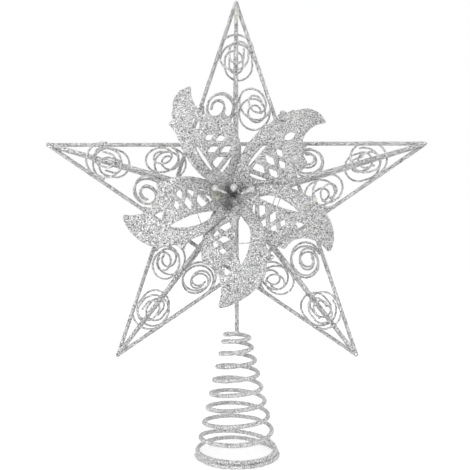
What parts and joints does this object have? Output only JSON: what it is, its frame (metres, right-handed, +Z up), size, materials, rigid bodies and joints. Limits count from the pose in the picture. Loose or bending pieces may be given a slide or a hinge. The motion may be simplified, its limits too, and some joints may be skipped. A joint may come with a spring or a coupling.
{
  "type": "tree topper star",
  "caption": "Pointed openwork wire star with scrollwork and a flower at its centre, on a conical coil spring that slips over the tip of a tree.",
  "frame": {"origin": "centre of the spring's mouth, on the plane that its lowest turn stands on", "axes": "+Z up along the spring and stem, the flower faces -Y, +X to the right seen from the front"},
  "size_m": [0.2514, 0.0594, 0.2984],
  "materials": {
    "frame_wire": "silver glitter",
    "scroll_wire": "silver glitter",
    "spring_wire": "silver glitter",
    "petal_sheet": "silver glitter",
    "flower_heart": "silver glitter",
    "stamen_bead": "silver glitter"
  },
  "bodies": {
    "spring": {"coil_spring": "spring_wire"},
    "star": {"outline_wire_1": "frame_wire", "outline_wire_2": "frame_wire", "outline_wire_3": "frame_wire", "outline_wire_4": "frame_wire", "outline_wire_5": "frame_wire", "front_rib_top": "frame_wire", "front_rib_upper_left": "frame_wire", "front_rib_lower_left": "frame_wire", "front_rib_lower_right": "frame_wire", "front_rib_upper_right": "frame_wire", "back_rib_top": "frame_wire", "back_rib_upper_left": "frame_wire", "back_rib_lower_left": "frame_wire", "back_rib_lower_right": "frame_wire", "back_rib_upper_right": "frame_wire", "front_scrolls_top": "scroll_wire", "front_scrolls_upper_left": "scroll_wire", "front_scrolls_lower_left": "scroll_wire", "front_scrolls_lower_right": "scroll_wire", "front_scrolls_upper_right": "scroll_wire", "back_scrolls_top": "scroll_wire", "back_scrolls_upper_left": "scroll_wire", "back_scrolls_lower_left": "scroll_wire", "back_scrolls_lower_right": "scroll_wire", "back_scrolls_upper_right": "scroll_wire", "centre_post": "frame_wire", "stem": "spring_wire", "petal_1": "petal_sheet", "petal_2": "petal_sheet", "petal_3": "petal_sheet", "petal_4": "petal_sheet", "petal_5": "petal_sheet", "flower_base": "flower_heart", "flower_centre": "flower_heart", "stamens": "stamen_bead"}
  },
  "joints": [
    {"name": "spring_travel", "type": "slide", "parent": "spring", "child": "star", "axis": [0, 0, 1], "range_m": [-0.025, 0.01], "stiffness_N_per_m": 320, "springref_m": 0.00458, "deforming": ["coil_spring"]}
  ]
}
